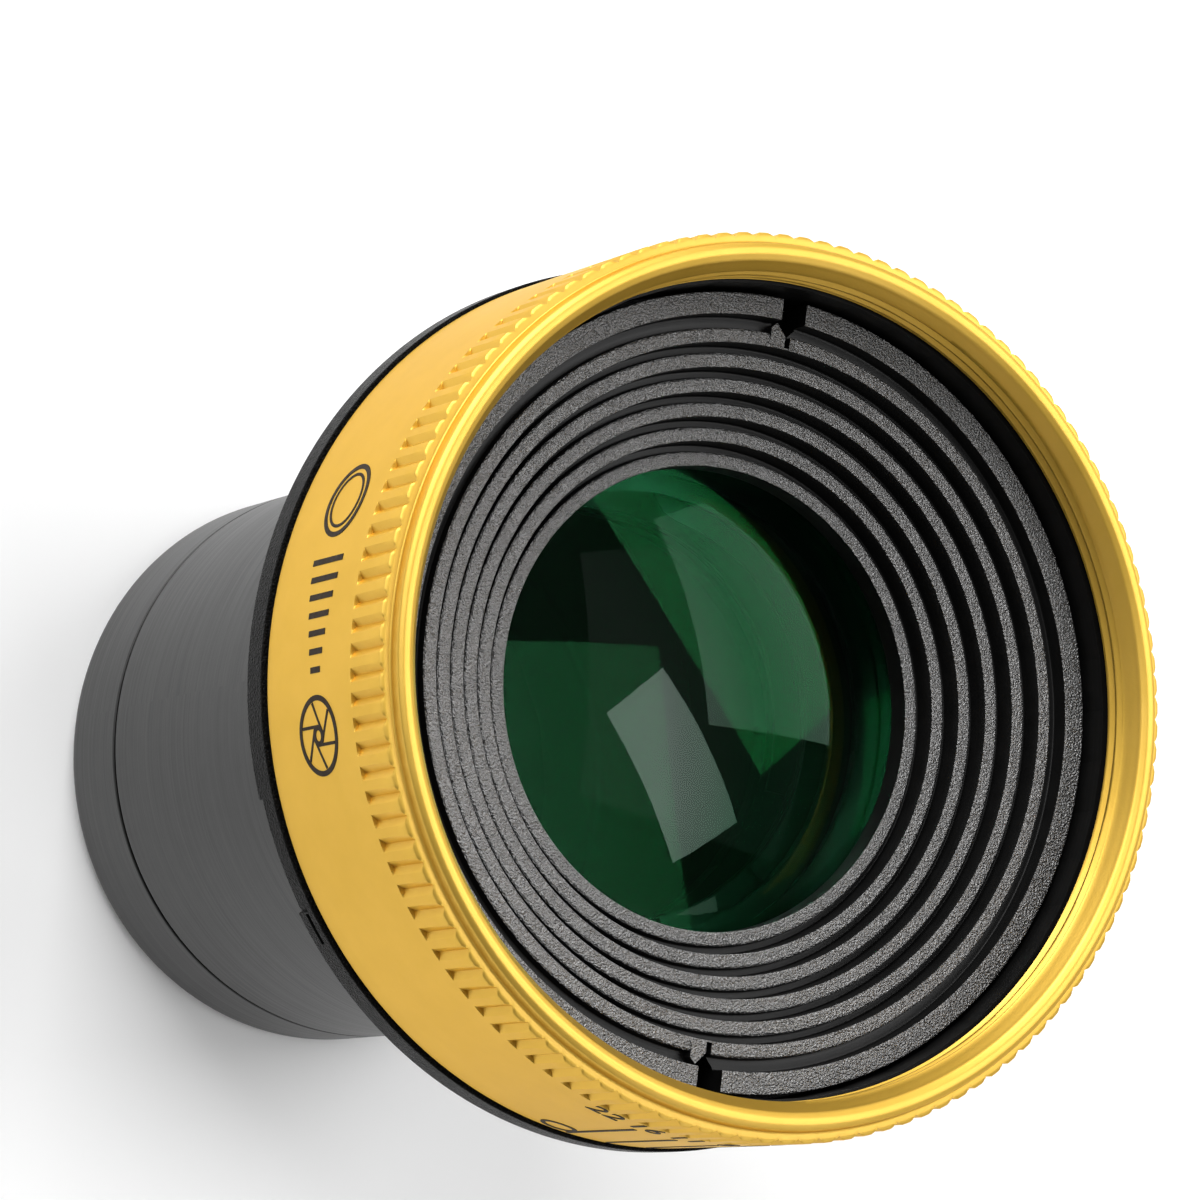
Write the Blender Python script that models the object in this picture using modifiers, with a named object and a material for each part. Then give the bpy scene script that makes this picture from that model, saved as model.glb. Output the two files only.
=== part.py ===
"""Swappable camera lens optic: a 60 mm class lens insert with its own aperture ring.

It stands on its flat rear face. The origin is the centre of that face, +Z is the optical axis towards
the front, and +Y is the upper spanner slot of the front baffle. Lengths are in millimetres here and
are scaled to metres when a mesh is made. At rest the iris is fully open.
"""

import math

import bmesh
import bpy
from mathutils import Matrix, Vector

MM = 0.001

# ---- Driving dimensions, in millimetres and degrees ----------------------------------------------
GAP = 0.3                   # clearance between neighbours

# Aperture ring
LIP_Z = 58.3
BAND_RADIUS = 25.1
BAND_REAR_Z = 44.1
SHOULDER_RADIUS = 24.5
SHOULDER_Z = 57.52
BEAD_RADIUS = 23.9
RING_BORE = 23.4
THREAD_MINOR = 22.75        # 46 mm filter thread
THREAD_PITCH = 0.75
THREAD_DEPTH = 0.27
THREAD_START_Z = 55.9
THREAD_TURNS = 2
NOTCH_COUNT = 120
NOTCH_DEPTH = 0.28
NOTCH_WIDTH = 0.78
NOTCH_REAR_Z = 54.15
RING_TRAVEL = 36.0          # seven stops, six degrees apart

# Fixed core
BARREL_RADIUS = RING_BORE - GAP
BARREL_BORE = 22.65
BARREL_FRONT_Z = 55.45
BARREL_STEP_Z = 50.7
FOOT_TOP_Z = 44.6
WEB_Z = (46.6, 47.3)
SNAP_GROOVE_Z = (49.2, 50.3)
SNAP_GROOVE_DEPTH = 0.45

# Front baffle
BAFFLE_RADIUS = 22.35
BAFFLE_Z = 53.9
RIB_COUNT = 6
RIB_PITCH = 1.28
RIB_WIDTH = 0.8
RIB_STEP = 0.84
RIB_GROOVE = 0.7
FIRST_RIB_RADIUS = 20.36
FIRST_RIB_Z = 53.45
OUTER_GROOVE_RADIUS = 21.1
SPANNER_WIDTH = 1.55
SLIT_WIDTH = 0.36

# Mounting flange and its screws
FLANGE_RADIUS = 25.3
FLANGE_Z = (41.6, 43.8)
FLANGE_STEP = 0.4
FLANGE_FLOOR_Z = 43.0
POCKET = (-158.0, -143.0)
EDGE_SLOTS = ((-156.2, -150.4), (-142.8, -138.4))
SCREW_ANGLES = (30.0, 150.0, 270.0)
SCREW_CIRCLE = 20.95
SCREW_HEAD = 1.3
SCREW_SHAFT = 0.7

# Rear tube and end cap
TUBE_RADIUS = 17.5
TUBE_BORE = 16.75
TUBE_FRONT_Z = 43.85
COLLAR_RADIUS = 19.5
LEDGE_Z = (31.0, 32.7)
CAP_LENGTH = 6.95
CAP_EDGE = 1.2
REAR_OPENING = 12.2

# Glass
FRONT_GLASS = 14.2
REAR_GLASS = 13.3

# Iris
BLADE_COUNT = 12
BLADE_PITCH = 360.0 / BLADE_COUNT
BLADE_THICKNESS = 0.15
BLADE_LAYER = 0.3
BLADE_START_Z = 34.3
BLADE_BAND = (10.4, 13.8)
BLADE_SPAN = (-8.0, 110.0)
PIVOT_RADIUS = 15.0
STUD_RADIUS = 0.3
TAIL_LENGTH = 1.8
TAIL_ANGLE = -90.0 - RING_TRAVEL / 2
TAIL_PIN_RADIUS = 0.2
CAM_SLOT_WIDTH = 0.7
CAM_Z = (38.05, 38.85)
ARM_ANGLE = 68.4
ARM_HALF_ANGLE = 5.5
DRIVE_PIN_RADIUS = 0.6
DRIVE_PIN_Z = 45.5

# Facets of the turned pieces
FINE = 60
MEDIUM = 48
COARSE = 36
GLASS = 28


# ---- Helpers -------------------------------------------------------------------------------------

def clear_scene():
    for old in list(bpy.data.objects):
        bpy.data.objects.remove(old, do_unlink=True)


def new_collection(name):
    made = bpy.data.collections.new(name)
    bpy.context.scene.collection.children.link(made)
    return made


def material(name, colour, roughness, metallic=0.0, transmission=0.0):
    made = bpy.data.materials.new(name)
    made.use_nodes = True
    shader = made.node_tree.nodes["Principled BSDF"]
    shader.inputs["Base Color"].default_value = (*colour, 1.0)
    shader.inputs["Roughness"].default_value = roughness
    shader.inputs["Metallic"].default_value = metallic
    shader.inputs["Transmission Weight"].default_value = transmission
    made.diffuse_color = (*colour, 1.0)
    return made


def polar(radius, degrees, centre=(0.0, 0.0)):
    angle = math.radians(degrees)
    return centre[0] + radius * math.cos(angle), centre[1] + radius * math.sin(angle)


def arc(radius, start, end, count, centre=(0.0, 0.0)):
    return [polar(radius, start + (end - start) * step / count, centre) for step in range(count + 1)]


def circle(radius, count):
    return arc(radius, 0.0, 360.0, count)[:-1]


def sector(inner, outer, start, end, count=6):
    return arc(inner, start, end, count) + arc(outer, end, start, count)


def place(angle, radius, z):
    """A frame on the circle of this radius, with its X axis pointing outwards."""
    x, y = polar(radius, angle)
    return Matrix.Translation((x * MM, y * MM, z * MM)) @ Matrix.Rotation(math.radians(angle), 4, "Z")


LYING = Matrix.Rotation(math.radians(90.0), 4, "Y")


def add_object(name, mesh, collection, look=None):
    made = bpy.data.objects.new(name, mesh)
    if look:
        mesh.materials.append(look)
    collection.objects.link(made)
    return made


def evaluated_mesh(guide, name):
    """The guide's shape after its modifiers, as a plain mesh. The guide is then removed."""
    bpy.context.view_layer.update()
    graph = bpy.context.evaluated_depsgraph_get()
    mesh = bpy.data.meshes.new_from_object(guide.evaluated_get(graph))
    bpy.data.objects.remove(guide, do_unlink=True)
    shape = bmesh.new()
    shape.from_mesh(mesh)
    bmesh.ops.remove_doubles(shape, verts=shape.verts, dist=1e-7)
    shape.to_mesh(mesh)
    shape.free()
    mesh.materials.clear()
    mesh.name = name
    return mesh


def turned(name, profile, collection, look=None, steps=COARSE):
    """A turned solid. The profile's (radius, z) points run down its outer side and up its inner side."""
    shape = bmesh.new()
    points = [shape.verts.new((r * MM, 0.0, z * MM)) for r, z in profile]
    follows = points[1:] if profile[0][0] == 0.0 else points[1:] + points[:1]
    for first, second in zip(points, follows):
        shape.edges.new((first, second))
    outline = bpy.data.meshes.new(name + "_profile")
    shape.to_mesh(outline)
    shape.free()
    guide = add_object(name + "_profile", outline, bpy.context.scene.collection)
    screw = guide.modifiers.new("Turn", "SCREW")
    screw.steps = screw.render_steps = steps
    screw.use_merge_vertices = True
    screw.merge_threshold = 1e-6
    mesh = evaluated_mesh(guide, name)
    mesh.shade_smooth()
    mesh.set_sharp_from_angle(angle=math.radians(30.0))
    return add_object(name, mesh, collection, look)


def plate(name, loops, low, high, collection, look=None):
    """A flat piece from its outline and the outlines of its holes, between two heights."""
    curve = bpy.data.curves.new(name, "CURVE")
    curve.dimensions = "2D"
    curve.fill_mode = "BOTH"
    curve.extrude = (high - low) / 2 * MM
    for loop in loops:
        spline = curve.splines.new("POLY")
        spline.points.add(len(loop) - 1)
        for point, (x, y) in zip(spline.points, loop):
            point.co = (x * MM, y * MM, 0.0, 1.0)
        spline.use_cyclic_u = True
    guide = add_object(name + "_outline", curve, bpy.context.scene.collection)
    mesh = evaluated_mesh(guide, name)
    mesh.transform(Matrix.Translation((0.0, 0.0, (low + high) / 2 * MM)))
    return add_object(name, mesh, collection, look)


def solids(name, pieces, collection, look=None):
    """Separate boxes (three sides) and cylinders (radius, length) in one mesh, each in its frame."""
    shape = bmesh.new()
    for size, frame in pieces:
        if len(size) == 3:
            sides = Matrix.Diagonal((*[side * MM for side in size], 1.0))
            bmesh.ops.create_cube(shape, size=1.0, matrix=frame @ sides)
        else:
            radius, length = size
            bmesh.ops.create_cone(
                shape, cap_ends=True, segments=12, radius1=radius * MM, radius2=radius * MM,
                depth=length * MM, matrix=frame,
            )
    mesh = bpy.data.meshes.new(name)
    shape.to_mesh(mesh)
    shape.free()
    return add_object(name, mesh, collection, look)


def boolean(target, tool, operation="DIFFERENCE"):
    tool.hide_render = True
    tool.display_type = "WIRE"
    modifier = target.modifiers.new(tool.name, "BOOLEAN")
    modifier.operation = operation
    modifier.solver = "EXACT"
    modifier.object = tool


def ring_profile(inner, outer, low, high):
    return [(outer, high), (outer, low), (inner, low), (inner, high)]


# ---- Aperture ring and what turns with it --------------------------------------------------------

def make_aperture_ring(parts, cutters, look):
    bead = [
        (BEAD_RADIUS - 0.7, LIP_Z - 0.5),
        (BEAD_RADIUS - 0.5, LIP_Z - 0.22),
        (BEAD_RADIUS - 0.18, LIP_Z),
        (BEAD_RADIUS + 0.2, LIP_Z),
        (BEAD_RADIUS + 0.46, LIP_Z - 0.15),
    ]
    shoulder = [
        (SHOULDER_RADIUS, SHOULDER_Z),
        (BAND_RADIUS - 0.15, SHOULDER_Z - 0.04),
    ]
    band = [
        (BAND_RADIUS, SHOULDER_Z - 0.2),
        (BAND_RADIUS, BAND_REAR_Z + 0.2),
        (BAND_RADIUS - 0.2, BAND_REAR_Z),
    ]
    low, high = SNAP_GROOVE_Z
    bore = [
        (RING_BORE, BAND_REAR_Z),
        (RING_BORE, low),
        (RING_BORE + SNAP_GROOVE_DEPTH, low),
        (RING_BORE + SNAP_GROOVE_DEPTH, high),
        (RING_BORE, high),
        (RING_BORE, BARREL_FRONT_Z + GAP),
        (THREAD_MINOR, BARREL_FRONT_Z + GAP),
        (THREAD_MINOR, THREAD_START_Z),
    ]
    thread = []
    for turn in range(THREAD_TURNS):
        z = THREAD_START_Z + THREAD_PITCH * turn
        thread.append((THREAD_MINOR + THREAD_DEPTH, z + THREAD_PITCH / 2))
        thread.append((THREAD_MINOR, z + THREAD_PITCH))
    thread.append((THREAD_MINOR + THREAD_DEPTH, thread[-1][1] + 0.3))
    ring = turned("aperture_ring", bead + shoulder + band + bore + thread, parts, look, FINE)
    boolean(ring, notch_cutter(cutters))
    hole = [((DRIVE_PIN_RADIUS + GAP, 1.4), place(ARM_ANGLE, 23.7, DRIVE_PIN_Z) @ LYING)]
    boolean(ring, solids("pin_hole_cutter", hole, cutters))


def notch_cutter(cutters):
    """Wedges that cut the V notches of the grip, open at the front."""
    clear = 0.1
    half_width = NOTCH_WIDTH / 2 * (NOTCH_DEPTH + clear) / NOTCH_DEPTH
    root, outside = BAND_RADIUS - NOTCH_DEPTH, BAND_RADIUS + clear
    section = [(root, 0.0), (outside, -half_width), (outside, half_width)]
    shape = bmesh.new()
    for notch in range(NOTCH_COUNT):
        turn = Matrix.Rotation(math.radians(360.0 / NOTCH_COUNT * notch), 4, "Z")
        rear, front = (
            [shape.verts.new(turn @ (Vector((x, y, z)) * MM)) for x, y in section]
            for z in (NOTCH_REAR_Z, SHOULDER_Z + 0.2)
        )
        shape.faces.new(rear[::-1])
        shape.faces.new(front)
        for side in range(3):
            after = (side + 1) % 3
            shape.faces.new((rear[side], rear[after], front[after], front[side]))
    mesh = bpy.data.meshes.new("notch_cutter")
    shape.to_mesh(mesh)
    shape.free()
    return add_object("notch_cutter", mesh, cutters)


def make_drive_pin(parts, look):
    inner, outer = 15.75, RING_BORE + 0.7
    frame = place(ARM_ANGLE, (inner + outer) / 2, DRIVE_PIN_Z) @ LYING
    solids("drive_pin", [((DRIVE_PIN_RADIUS, outer - inner), frame)], parts, look)


def cam_slot(blade):
    """The path of a blade's pin over the turning ring, widened to a slot with round ends."""
    start = BLADE_PITCH * blade
    end = start - RING_TRAVEL
    centre = polar(TAIL_LENGTH, start + TAIL_ANGLE)
    half = CAM_SLOT_WIDTH / 2
    outer = arc(PIVOT_RADIUS + half, start, end, 9, centre)
    inner = arc(PIVOT_RADIUS - half, end, start, 9, centre)
    far = arc(half, end, end - 180.0, 5, polar(PIVOT_RADIUS, end, centre))[1:-1]
    near = arc(half, start + 180.0, start, 5, polar(PIVOT_RADIUS, start, centre))[1:-1]
    return outer + far + inner + near


def make_iris_cam_ring(parts, cutters, look):
    low, high = CAM_Z
    loops = [circle(TUBE_BORE - GAP, FINE), circle(11.5, COARSE)]
    loops += [cam_slot(blade) for blade in range(BLADE_COUNT)]
    ring = plate("iris_cam_ring", loops, low, high, parts, look)
    outline = sector(15.65, 16.35, ARM_ANGLE - ARM_HALF_ANGLE, ARM_ANGLE + ARM_HALF_ANGLE)
    arm = plate("arm_tool", [outline], low + 0.3, WEB_Z[0] - GAP, cutters)
    boolean(ring, arm, "UNION")
    fork = [((2.0, 2 * (DRIVE_PIN_RADIUS + GAP), 4.0), place(ARM_ANGLE, 16.0, FOOT_TOP_Z + 2.0))]
    boolean(ring, solids("fork_cutter", fork, cutters))


# ---- Fixed core ----------------------------------------------------------------------------------

def make_main_barrel(parts, cutters, look):
    low, high = SNAP_GROOVE_Z
    wall = [
        (BARREL_RADIUS, BARREL_FRONT_Z),
        (BARREL_RADIUS, high),
        (BARREL_RADIUS - SNAP_GROOVE_DEPTH, high),
        (BARREL_RADIUS - SNAP_GROOVE_DEPTH, low),
        (BARREL_RADIUS, low),
        (BARREL_RADIUS, FLANGE_FLOOR_Z + GAP),
    ]
    foot = [
        (COLLAR_RADIUS + GAP, FLANGE_FLOOR_Z + GAP),
        (COLLAR_RADIUS + GAP, TUBE_FRONT_Z + GAP),
        (17.0, TUBE_FRONT_Z + GAP),
        (17.0, FOOT_TOP_Z),
        (22.1, FOOT_TOP_Z),
    ]
    web = [(22.1, WEB_Z[0]), (15.6, WEB_Z[0]), (15.6, WEB_Z[1]), (21.3, WEB_Z[1])]
    front = [(21.3, BARREL_STEP_Z), (BARREL_BORE, BARREL_STEP_Z), (BARREL_BORE, BARREL_FRONT_Z)]
    barrel = turned("main_barrel", wall + foot + web + front, parts, look, MEDIUM)
    window = sector(21.9, 23.4, ARM_ANGLE - 3.0, ARM_ANGLE + RING_TRAVEL + 3.0, 10)
    boolean(barrel, plate("pin_window_cutter", [window], FOOT_TOP_Z + 0.05, 46.4, cutters))
    hole = (SCREW_SHAFT + GAP, 3.0)
    holes = [(hole, place(angle, SCREW_CIRCLE, FOOT_TOP_Z)) for angle in SCREW_ANGLES]
    boolean(barrel, solids("foot_hole_cutter", holes, cutters))


def make_snap_ring(parts, cutters, look):
    low, high = SNAP_GROOVE_Z
    inner, outer = BARREL_RADIUS - SNAP_GROOVE_DEPTH + GAP, RING_BORE + SNAP_GROOVE_DEPTH - GAP
    ring = turned("snap_ring", ring_profile(inner, outer, low + GAP, high - GAP), parts, look, MEDIUM)
    opening = [((3.0, 11.0, 3.0), place(-60.0, inner, (low + high) / 2))]
    boolean(ring, solids("snap_opening_cutter", opening, cutters))


def make_front_baffle(parts, cutters, look):
    """Light baffle: a flat rim, then ribs that step down to the glass with a groove before each."""
    profile = [(BAFFLE_RADIUS, BAFFLE_Z), (BAFFLE_RADIUS, 51.0), (21.0, 51.0), (21.0, 51.6), (19.3, 51.6)]
    opening = FIRST_RIB_RADIUS - RIB_PITCH * (RIB_COUNT - 1) - RIB_WIDTH
    profile.append((opening, 47.7))
    for rib in reversed(range(RIB_COUNT)):
        outer = FIRST_RIB_RADIUS - RIB_PITCH * rib
        top = FIRST_RIB_Z - RIB_STEP * rib
        next_wall = outer + RIB_PITCH - RIB_WIDTH if rib else OUTER_GROOVE_RADIUS
        profile += [
            (outer - RIB_WIDTH, top),
            (outer, top),
            (outer, top - RIB_GROOVE),
            (next_wall, top - RIB_GROOVE),
        ]
    profile.append((OUTER_GROOVE_RADIUS, BAFFLE_Z))
    baffle = turned("front_baffle", profile, parts, look)
    for number, side in enumerate((1.0, -1.0), 1):
        beside = Matrix.Translation((0.0, side * 0.75 * MM, 0.0))
        boss = [((1.4, 1.1, 1.1), place(90.0 * side, 20.2, 53.05) @ beside)]
        boolean(baffle, solids(f"slot_boss_{number}", boss, cutters), "UNION")
        wide, narrow = SPANNER_WIDTH / 2, SLIT_WIDTH / 2
        half = [(wide, 22.8), (wide, 20.9), (narrow, 20.3), (narrow, 19.45)]
        outline = [(x, side * y) for x, y in half] + [(-x, side * y) for x, y in reversed(half)]
        boolean(baffle, plate(f"spanner_slot_cutter_{number}", [outline], 52.3, 54.5, cutters))


def make_mount_flange(parts, cutters, look):
    low, high = FLANGE_Z
    profile = [
        (FLANGE_RADIUS, high),
        (FLANGE_RADIUS, low + FLANGE_STEP),
        (FLANGE_RADIUS - 0.4, low + FLANGE_STEP),
        (FLANGE_RADIUS - 0.4, low),
        (TUBE_RADIUS + GAP, low),
        (TUBE_RADIUS + GAP, FLANGE_FLOOR_Z),
        (23.6, FLANGE_FLOOR_Z),
        (23.6, high),
    ]
    flange = turned("mount_flange", profile, parts, look, MEDIUM)
    reach = FLANGE_RADIUS + 1.0
    for side in range(2):
        turn = 180.0 * side
        outline = sector(FLANGE_RADIUS - 0.3, reach, turn + POCKET[0], turn + POCKET[1])
        boolean(flange, plate(f"pocket_cutter_{side + 1}", [outline], low - 0.5, low + 1.6, cutters))
        for slot, (start, end) in enumerate(EDGE_SLOTS, 2 * side + 1):
            outline = sector(FLANGE_RADIUS - 0.9, reach, turn + start, turn + end, 3)
            cutter = plate(f"edge_slot_cutter_{slot}", [outline], high - 1.0, high - 0.65, cutters)
            boolean(flange, cutter)
    bore, hole = (SCREW_HEAD + GAP, 2.0), (SCREW_SHAFT + GAP, 4.0)
    bores = [(bore, place(angle, SCREW_CIRCLE, low)) for angle in SCREW_ANGLES]
    holes = [(hole, place(angle, SCREW_CIRCLE, high)) for angle in SCREW_ANGLES]
    boolean(flange, solids("screw_bore_cutter", bores, cutters))
    boolean(flange, solids("screw_hole_cutter", holes, cutters))


def make_flange_screws(parts, look):
    low = FLANGE_Z[0] + 0.15
    profile = [
        (0.0, 44.3),
        (SCREW_SHAFT, 44.3),
        (SCREW_SHAFT, low + 0.6),
        (SCREW_HEAD, low + 0.6),
        (SCREW_HEAD, low),
        (0.55, low),
        (0.55, low + 0.35),
        (0.0, low + 0.35),
    ]
    for number, angle in enumerate(SCREW_ANGLES, 1):
        screw = turned(f"flange_screw_{number}", profile, parts, look, 12)
        x, y = polar(SCREW_CIRCLE, angle)
        screw.location = (x * MM, y * MM, 0.0)


def make_rear_tube(parts, look):
    ledge = [
        (TUBE_BORE, LEDGE_Z[0]),
        (TUBE_BORE - 0.75, LEDGE_Z[0]),
        (TUBE_BORE - 0.75, LEDGE_Z[1]),
        (TUBE_BORE, LEDGE_Z[1]),
    ]
    profile = [
        (COLLAR_RADIUS, TUBE_FRONT_Z),
        (COLLAR_RADIUS, FLANGE_FLOOR_Z + GAP),
        (TUBE_RADIUS, FLANGE_FLOOR_Z + GAP),
        (TUBE_RADIUS, CAP_LENGTH + GAP),
        (TUBE_BORE, CAP_LENGTH + GAP),
    ]
    turned("rear_tube", profile + ledge + [(TUBE_BORE, TUBE_FRONT_Z)], parts, look, MEDIUM)


def make_rear_cap(parts, look):
    """End cap: rounded rear edge, rear opening, seat for the rear glass and a spigot in the tube."""
    edge = arc(CAP_EDGE, 0.0, -90.0, 4, (TUBE_RADIUS - CAP_EDGE, CAP_EDGE))
    profile = [(TUBE_RADIUS, CAP_LENGTH)] + edge + [
        (REAR_OPENING, 0.0),
        (REAR_OPENING, 7.2),
        (REAR_GLASS + GAP, 7.2),
        (REAR_GLASS + GAP, 20.0),
        (TUBE_BORE - GAP, 20.0),
        (TUBE_BORE - GAP, CAP_LENGTH),
    ]
    turned("rear_cap", profile, parts, look, MEDIUM)


# ---- Glass and its rings -------------------------------------------------------------------------

def lens_face(radius, apex, curvature):
    """Points of a round lens face from the axis to the edge. A plus curvature bulges towards +Z."""
    points = []
    for step in range(4):
        r = radius * step / 3
        sag = abs(curvature) - math.sqrt(curvature * curvature - r * r)
        points.append((r, apex - math.copysign(sag, curvature)))
    return points


def make_glass(parts, crown, flint):
    cement = lens_face(FRONT_GLASS, 42.28, -32.0)
    front = lens_face(FRONT_GLASS, 49.6, 38.0)
    turned("front_crown_lens", front + cement[::-1], parts, crown, GLASS)
    behind = [(r, z - 0.1) for r, z in cement] + [(FRONT_GLASS, 40.1), (0.0, 40.1)]
    turned("front_flint_lens", behind, parts, flint, GLASS)
    meniscus = lens_face(REAR_GLASS, 18.1, 60.0) + lens_face(REAR_GLASS, 16.61, 30.0)[::-1]
    turned("rear_flint_lens", meniscus, parts, flint, GLASS)
    last = lens_face(REAR_GLASS, 12.18, 40.0) + lens_face(REAR_GLASS, 5.62, -40.0)[::-1]
    turned("rear_crown_lens", last, parts, crown, GLASS)


def make_lens_holders(parts, cutters, look):
    seat = WEB_Z[1] + GAP
    cell = [
        (17.2, seat + 0.6),
        (17.2, seat),
        (15.3, seat),
        (15.3, 39.15),
        (12.6, 39.15),
        (12.6, 39.8),
        (FRONT_GLASS + GAP, 39.8),
        (FRONT_GLASS + GAP, seat + 0.6),
    ]
    turned("front_lens_cell", cell, parts, look)
    turned("rear_lens_spacer", ring_profile(12.6, REAR_GLASS, 10.45, 13.2), parts, look)
    retainer = turned("rear_retaining_ring", ring_profile(11.9, REAR_GLASS, 17.25, 18.7), parts, look)
    slots = [((4.0, 1.2, 1.4), place(90.0 * side, 13.0, 18.7)) for side in (1.0, -1.0)]
    boolean(retainer, solids("retainer_slot_cutter", slots, cutters))


# ---- Iris ----------------------------------------------------------------------------------------

def make_iris_base_ring(parts, cutters, look):
    base = turned("iris_base_ring", ring_profile(10.2, TUBE_BORE - GAP, 33.0, 34.0), parts, look)
    low, high = 33.5, BLADE_START_Z + BLADE_LAYER * BLADE_COUNT - 0.05
    studs = [
        ((STUD_RADIUS, high - low), place(BLADE_PITCH * blade, PIVOT_RADIUS, (low + high) / 2))
        for blade in range(BLADE_COUNT)
    ]
    boolean(base, solids("stud_tool", studs, cutters), "UNION")


def blade_outline():
    """A blade in its own frame: the origin is its pivot and the lens axis lies towards -X."""
    axis = (-PIVOT_RADIUS, 0.0)
    inner, outer = BLADE_BAND
    start, end = BLADE_SPAN
    tip = arc((outer - inner) / 2, end + 180.0, end, 6, polar((inner + outer) / 2, end, axis))[1:-1]
    lobe = arc(0.85, 75.0, -35.0, 5)
    tail = arc(0.6, -35.0, -190.0, 6, polar(TAIL_LENGTH, TAIL_ANGLE))
    return arc(inner, start, end, 14, axis) + tip + arc(outer, end, 5.0, 12, axis) + lobe + tail


def make_iris_blades(parts, cutters, look):
    outline = blade_outline()
    hole = circle(STUD_RADIUS + 0.15, 10)
    x, y = polar(TAIL_LENGTH, TAIL_ANGLE)
    top = CAM_Z[1] - 0.2
    for blade in range(BLADE_COUNT):
        low = BLADE_START_Z + BLADE_LAYER * blade
        name = f"iris_blade_{blade + 1:02d}"
        made = plate(name, [outline, hole], low, low + BLADE_THICKNESS, parts, look)
        base = low + 0.05
        frame = Matrix.Translation((x * MM, y * MM, (base + top) / 2 * MM))
        pin = solids(name + "_pin_tool", [((TAIL_PIN_RADIUS, top - base), frame)], cutters)
        boolean(made, pin, "UNION")
        pivot_x, pivot_y = polar(PIVOT_RADIUS, BLADE_PITCH * blade)
        for piece in (made, pin):
            piece.location = (pivot_x * MM, pivot_y * MM, 0.0)
            piece.rotation_euler.z = math.radians(BLADE_PITCH * blade)


def main():
    clear_scene()
    parts = new_collection("camera_lens_optic")
    cutters = new_collection("cutters")
    gold = material("gold_anodised", (0.83, 0.57, 0.12), 0.32, 1.0)
    black_metal = material("black_anodised", (0.02, 0.02, 0.022), 0.4, 0.6)
    black_plastic = material("black_textured_plastic", (0.03, 0.03, 0.032), 0.6)
    steel = material("steel", (0.6, 0.6, 0.62), 0.3, 1.0)
    blade_black = material("blade_black", (0.015, 0.015, 0.016), 0.5, 0.4)
    crown = material("coated_crown_glass", (0.75, 0.95, 0.85), 0.03, 0.0, 1.0)
    flint = material("coated_flint_glass", (0.85, 0.95, 0.9), 0.03, 0.0, 1.0)

    make_aperture_ring(parts, cutters, gold)
    make_snap_ring(parts, cutters, steel)
    make_main_barrel(parts, cutters, black_metal)
    make_front_baffle(parts, cutters, black_plastic)
    make_mount_flange(parts, cutters, black_plastic)
    make_flange_screws(parts, steel)
    make_rear_tube(parts, black_metal)
    make_rear_cap(parts, black_metal)
    make_glass(parts, crown, flint)
    make_lens_holders(parts, cutters, black_metal)
    make_iris_base_ring(parts, cutters, black_metal)
    make_iris_blades(parts, cutters, blade_black)
    make_iris_cam_ring(parts, cutters, black_metal)
    make_drive_pin(parts, steel)


main()
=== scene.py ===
"""Looks of the camera lens optic: fine visible pieces, materials, markings, light and camera."""

import math

import bpy
import numpy as np
from mathutils import Matrix, Vector


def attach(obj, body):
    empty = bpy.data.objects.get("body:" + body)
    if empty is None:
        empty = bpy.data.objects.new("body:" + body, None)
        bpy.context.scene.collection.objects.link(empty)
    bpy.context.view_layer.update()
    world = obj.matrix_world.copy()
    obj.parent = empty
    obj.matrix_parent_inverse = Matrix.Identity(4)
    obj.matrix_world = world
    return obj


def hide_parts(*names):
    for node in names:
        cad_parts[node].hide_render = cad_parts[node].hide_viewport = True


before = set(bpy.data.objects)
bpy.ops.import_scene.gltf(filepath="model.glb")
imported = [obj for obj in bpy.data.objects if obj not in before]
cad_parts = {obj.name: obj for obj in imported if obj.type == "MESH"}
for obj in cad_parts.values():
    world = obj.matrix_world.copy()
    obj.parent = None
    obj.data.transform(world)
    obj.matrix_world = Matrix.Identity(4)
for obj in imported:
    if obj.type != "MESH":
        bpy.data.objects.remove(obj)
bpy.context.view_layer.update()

# Lengths are in millimetres and angles in degrees, unless a name says otherwise.
MM = 0.001
FULL_CIRCLE = 2 * math.pi    # radians

# Facets round the pieces, and the angle from which an edge shows sharp
METAL_FACETS = 384
PLASTIC_FACETS = 360
LENS_FACETS = 180
SHARP = 38.0
FINE_SHARP = 30.0

# Aperture ring. The thread rows are close together, so that the cut reads as a helix.
BAND_R = 25.1
BAND_REAR_Z = 44.1
LIP_Z = 58.3
RING_BORE_R = 23.4
KNURL_NOTCHES = 120
KNURL_SAMPLES = 10          # facets per notch pitch
NOTCH_DEPTH = 0.28
NOTCH_HALF = 0.39
NOTCH_REAR_Z = 54.13
THREAD_START_Z = 55.75
THREAD_END_Z = 57.2
THREAD_PITCH = 0.75
THREAD_MINOR_R = 22.75
THREAD_MAJOR_R = 23.05
THREAD_DEPTH = 0.28
THREAD_LEAD_IN = 0.07
THREAD_ROW_STEP = 0.045

# Front baffle
RIB_COUNT = 6
RIB_OUTER_R = 20.36
RIB_TOP_Z = 53.45
RIB_PITCH = 1.28            # from one rib to the next smaller one
RIB_DROP = 0.84
RIB_WIDTH = 0.8
RIB_BEVEL = 0.1
GROOVE_WIDTH = 0.48
GROOVE_DEPTH = 0.7
RIM_INNER_R = 21.1
RIM_OUTER_R = 22.35
RIM_TOP_Z = 53.9

# Mounting flange
FLANGE_R = 25.3
FLANGE_FOOT_R = 24.9
FLANGE_BORE_R = 17.8
FLANGE_REAR_Z, FLANGE_STEP_Z, FLANGE_FRONT_Z = 41.6, 42.0, 43.8
RECESS_R = 23.6
RECESS_Z = 43.0
SCREW_ANGLES = (30.0, 150.0, 270.0)
SCREW_CIRCLE_R = 20.95
HEAD_BORE_R = 1.6
SHANK_BORE_R = 1.0

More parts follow.
